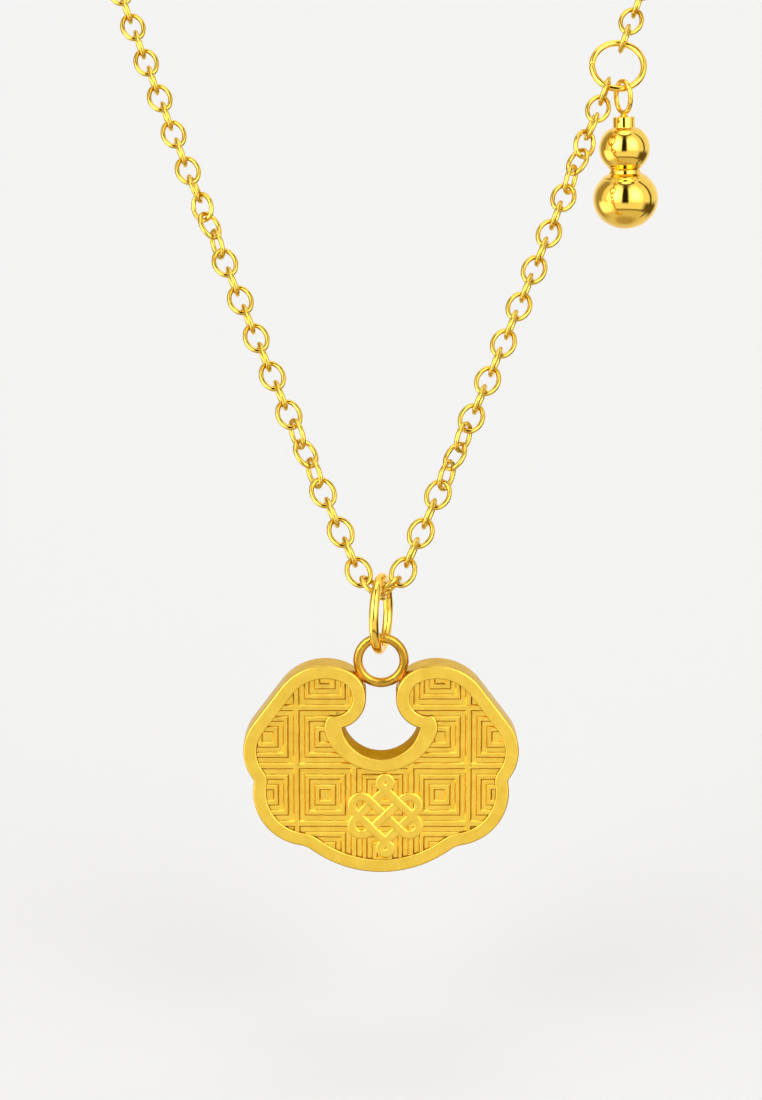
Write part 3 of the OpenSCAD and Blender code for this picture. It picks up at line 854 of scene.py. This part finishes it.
def knot_point(x, z, nx, nz, o, h, rise):
    """A point of the band's section at x, z, with nx, nz across the band."""
    half = KNOT_BAND / 2 * (1 + wobble(0.05, x * 1.5, z * 1.5, o))
    a, b = x + nx * o * half, z + nz * o * half
    ra = a * cos(KNOT_TURN) - b * sin(KNOT_TURN)
    rb = a * sin(KNOT_TURN) + b * cos(KNOT_TURN)
    top = KNOT_H + KNOT_RISE * max(-1, min(1, rise))
    return lock_point(KNOT_X + ra, KNOT_Z + rb, FLOOR + h * top + wobble(0.006, a * 4, b * 4, 2))


def knot():
    path = knot_path()
    rises = knot_rises(path)
    n, w = len(path), len(KNOT_SECTION)
    verts, faces = [], []
    for i, (x, z) in enumerate(path):
        tx, tz = path[(i + 1) % n][0] - path[i - 1][0], path[(i + 1) % n][1] - path[i - 1][1]
        l = math.hypot(tx, tz)
        verts.extend(knot_point(x, z, -tz / l, tx / l, o, h, rises[i]) for o, h in KNOT_SECTION)
    for i in range(n):
        j = (i + 1) % n
        for k in range(w - 1):
            faces.append((i * w + k, j * w + k, j * w + k + 1, i * w + k + 1))
    lock.add(verts, faces, FACE)


knot()

# The ring soldered between the lobes: round wire, filed flat in front and behind
RING_MIDDLE = LOCK_POS + Vector((0, 0, LOCK_DROP))
FILED, FILED_MAX = 2.9, 1.07
# Each bead of solder: its angle from below the ring, its distance past the ring's centre line, its half sizes
# along the seam, across it and from front to back
BEAD_AT, BEAD_OUT, BEAD_LONG, BEAD_THIN, BEAD_DEEP = 52, 0.36, 0.62, 0.3, 0.47


def round_ring(points=96, sides=24):
    def shape(i, a):
        k = (abs(math.cos(a)) ** FILED + abs(math.sin(a)) ** FILED) ** (-1 / FILED)
        return min(k, FILED_MAX) * (0.985 + wobble(0.012, i * 0.22, math.cos(a) * 1.5, math.sin(a) * 1.5))
    step = 360 / points
    path = [RING_MIDDLE + Vector((cos(step * i), 0, sin(step * i))) * RING_R for i in range(points)]
    lock.add(*tube(path, RING_WIRE / 2 * 0.96, sides, Vector((0, 1, 0)), shape), RING)


def solder_bead(s, rows=16, sides=28):
    a = -90 + s * BEAD_AT
    along, out = Vector((-sin(a), 0, cos(a))), Vector((cos(a), 0, sin(a)))
    centre = RING_MIDDLE + out * (RING_R + BEAD_OUT)
    verts, faces = [], []
    for i in range(rows + 1):
        th = math.pi * i / rows
        for k in range(sides):
            ph = 2 * math.pi * k / sides
            d = Vector((math.sin(th) * math.cos(ph), math.cos(th), math.sin(th) * math.sin(ph)))
            p = along * (d.dot(along) * BEAD_LONG) + out * (d.dot(out) * BEAD_THIN)
            p += Vector((0, d.y * BEAD_DEEP, 0))
            verts.append(centre + p * (1 + 0.12 * noise.noise(d * 2.3 + Vector((s * 5, 0, 0)))))
    for i in range(rows):
        for k in range(sides):
            l = (k + 1) % sides
            faces.append((i * sides + k, i * sides + l, (i + 1) * sides + l, (i + 1) * sides + k))
    lock.add(verts, faces, SOLDER)


round_ring()
solder_bead(-1)
solder_bead(1)
finish_object("lock_piece", lock.v, lock.f, LOCK_GOLDS, "lock", "lock", lock.m)

# Meshes are welded, loose points go, and edges sharper than this stay sharp in the shading
SHARP = 38


def weld(ob):
    bm = bmesh.new()
    bm.from_mesh(ob.data)
    bmesh.ops.delete(bm, geom=[v for v in bm.verts if not v.link_faces], context="VERTS")
    bmesh.ops.remove_doubles(bm, verts=bm.verts, dist=1e-7)
    bmesh.ops.recalc_face_normals(bm, faces=bm.faces)
    for e in bm.edges:
        if len(e.link_faces) == 2 and e.calc_face_angle(0) > math.radians(SHARP):
            e.smooth = False
    bm.to_mesh(ob.data)
    bm.free()


for piece in pieces:
    weld(piece)

# The ground, in metres. The metal mirrors the room below it, so the ground is left out of reflections
GROUND_HALF, GROUND_Z, GROUND_GREY, GROUND_GLOW = 9, -0.2, 0.62, 0.05
floor_mesh = bpy.data.meshes.new("ground")
square = ((-1, -1), (1, -1), (1, 1), (-1, 1))
ground_corners = [(GROUND_HALF * x, GROUND_HALF * y, GROUND_Z) for x, y in square]
floor_mesh.from_pydata(ground_corners, [], [(0, 1, 2, 3)])
ground = bpy.data.objects.new("ground", floor_mesh)
bpy.context.scene.collection.objects.link(ground)
ground_material = bpy.data.materials.new("pale_ground")
ground_material.use_nodes = True
ground_shader = ground_material.node_tree.nodes["Principled BSDF"]
ground_shader.inputs["Base Color"].default_value = (GROUND_GREY, GROUND_GREY, GROUND_GREY, 1)
ground_shader.inputs["Roughness"].default_value = 0.95
ground_shader.inputs["Specular IOR Level"].default_value = 0.0
ground_shader.inputs["Emission Color"].default_value = (1, 1, 1, 1)
ground_shader.inputs["Emission Strength"].default_value = GROUND_GLOW
floor_mesh.materials.append(ground_material)
ground.visible_glossy = False

# The room seen in the metal: two wide soft boxes with bright cores, dark gaps round them and a pale back
world = bpy.data.worlds.new("studio")
bpy.context.scene.world = world
world.use_nodes = True
wt = world.node_tree
background = wt.nodes["Background"]
separate = wt.nodes.new("ShaderNodeSeparateXYZ")
wt.links.new(wt.nodes.new("ShaderNodeTexCoord").outputs["Generated"], separate.inputs["Vector"])


def math_node(op, a, b):
    node = wt.nodes.new("ShaderNodeMath")
    node.operation = op
    for k, v in enumerate((a, b)):
        if isinstance(v, (int, float)):
            node.inputs[k].default_value = v
        else:
            wt.links.new(v, node.inputs[k])
    return node.outputs[0]


# Both run from 0 to 1: once round the compass with the front at 0.5, and from straight down to straight up
to_front = math_node("MULTIPLY", separate.outputs["Y"], -1.0)
turn = math_node("ARCTAN2", separate.outputs["X"], to_front)
azimuth = math_node("ADD", math_node("DIVIDE", turn, 2 * math.pi), 0.5)
height = math_node("ADD", math_node("MULTIPLY", separate.outputs["Z"], 0.5), 0.5)


def grey(v):
    """A grey that is the warmer the darker it is."""
    warm = 1 - min(1, v)
    return (v, v * (1 - 0.27 * warm), v * (1 - 0.6 * warm), 1)


def ramp(coord, stops):
    node = wt.nodes.new("ShaderNodeValToRGB")
    wt.links.new(coord, node.inputs["Fac"])
    elements = node.color_ramp.elements
    while len(elements) < len(stops):
        elements.new(0.5)
    for e, (place, v) in zip(elements, stops):
        e.position = place
        e.color = (v, v, v, 1)
    return node.outputs["Color"]


def panel(under, value, across, upright):
    """Lays a panel of light or darkness over what is there, soft at its edges."""
    side = ramp(azimuth, [(0.5 + d / 360, v) for d, v in across])
    level = ramp(height, [(0.5 + sin(d) / 2, v) for d, v in upright])
    node = wt.nodes.new("ShaderNodeMix")
    node.data_type = "RGBA"
    wt.links.new(math_node("MULTIPLY", side, level), node.inputs["Factor"])
    if isinstance(under, tuple):
        node.inputs["A"].default_value = under
    else:
        wt.links.new(under, node.inputs["A"])
    node.inputs["B"].default_value = grey(value)
    return node.outputs["Result"]


ROOM, STRENGTH = (0.96, 0.96, 0.96, 1), 1.085
ALL = [(-180, 1), (180, 1)]
CORE_UPRIGHT = [(-9, 0), (12, 1), (32, 1), (62, 0)]
# Each panel: what it is, its brightness, then how much it covers, by compass degrees with 0 in front and by
# degrees over the horizon
PANELS = [
    ("low back", 0.8, ALL, [(-90, 1), (-60, 1), (-15, 0)]),
    ("table in front", 0.75, [(-120, 0), (-95, 1), (95, 1), (120, 0)], [(-90, 1), (-38, 1), (-33, 0)]),
    ("left beyond the box", 0.4, [(-150, 0), (-125, 1), (-100, 1), (-94, 0)],
     [(-60, 0), (-40, 1), (45, 1), (60, 0)]),
    ("soft boxes", 1.03, [(-97, 0), (-90, 1), (88, 1), (93, 0)], [(-35, 0), (-31, 1), (65, 1), (69, 0)]),
    ("left core", 4.3, [(-78, 0), (-50, 1), (-32, 1), (-15, 0)], CORE_UPRIGHT),
    ("right core", 3.8, [(6, 0), (26, 1), (40, 1), (64, 0)], CORE_UPRIGHT),
    ("low left reflector", 1.9, [(-118, 0), (-100, 1), (-66, 1), (-44, 0)],
     [(-46, 0), (-32, 1), (-14, 1), (-4, 0)]),
    ("lower edge", 0.3, [(-50, 0), (-40, 1), (80, 1), (90, 0)], [(-42, 0), (-38, 1), (-35, 1), (-31, 0)]),
    ("low right flag", 0.13, [(56, 0), (74, 1), (118, 1), (136, 0)], [(-46, 0), (-33, 1), (-15, 1), (-4, 0)]),
    ("right edge", 0.12, [(87, 0), (91, 1), (97, 1), (102, 0)], [(-60, 0), (-50, 1), (55, 1), (66, 0)]),
    ("under the object", 0.5, ALL, [(-90, 1), (-76, 1), (-62, 0)]),
    ("upper edge", 0.06, [(-80, 0), (-60, 1), (60, 1), (80, 0)], [(64, 0), (66.5, 1), (69, 1), (71.5, 0)]),
    ("gap", 0.02, [(-20, 0), (-14, 1), (3, 1), (9, 0)], [(-15, 0), (-5, 1), (66, 1), (68, 0)]),
    ("top of the gap", 0.1, [(-38, 0), (-14, 1), (4, 1), (29, 0)], [(47, 0), (62, 1), (67, 1), (69, 0)]),
    ("ceiling", 2.0, ALL, [(70, 0), (74, 1), (90, 1)])]
room = ROOM
for _, value, across, upright in PANELS:
    room = panel(room, value, across, upright)
wt.links.new(room, background.inputs["Color"])
background.inputs["Strength"].default_value = STRENGTH

bpy.context.scene.view_settings.view_transform = "Standard"
bpy.context.scene.view_settings.look = "None"
bpy.context.scene.view_settings.exposure = 0.0

# The camera: how far it looks down, its distance, its focal length in pixels of a frame FRAME_H high, sensor
ELEVATION, DISTANCE, FOCAL_PX, FRAME_H, SENSOR = 12.5, 260.0, 2865.0, 1100.0, 24.0
# How far below the loop's lowest point it aims, and how far it is raised off that line
AIM_DROP, RAISE = 16.24, 19.96
forward = Vector((0, cos(ELEVATION), -sin(ELEVATION)))
upward = Vector((0, sin(ELEVATION), cos(ELEVATION)))
aim = Vector((0, LOW.y + BAIL_Y - FRONT, LOW.z - AIM_DROP))
lens = bpy.data.cameras.new("camera")
lens.sensor_fit = "VERTICAL"
lens.sensor_height = SENSOR
lens.lens = FOCAL_PX / FRAME_H * SENSOR
lens.clip_start = 0.01
lens.clip_end = 50.0
camera = bpy.data.objects.new("camera", lens)
camera.location = (aim - forward * DISTANCE + upward * RAISE) * MM
camera.rotation_euler = (math.radians(90 - ELEVATION), 0, 0)
bpy.context.scene.collection.objects.link(camera)
bpy.context.scene.camera = camera
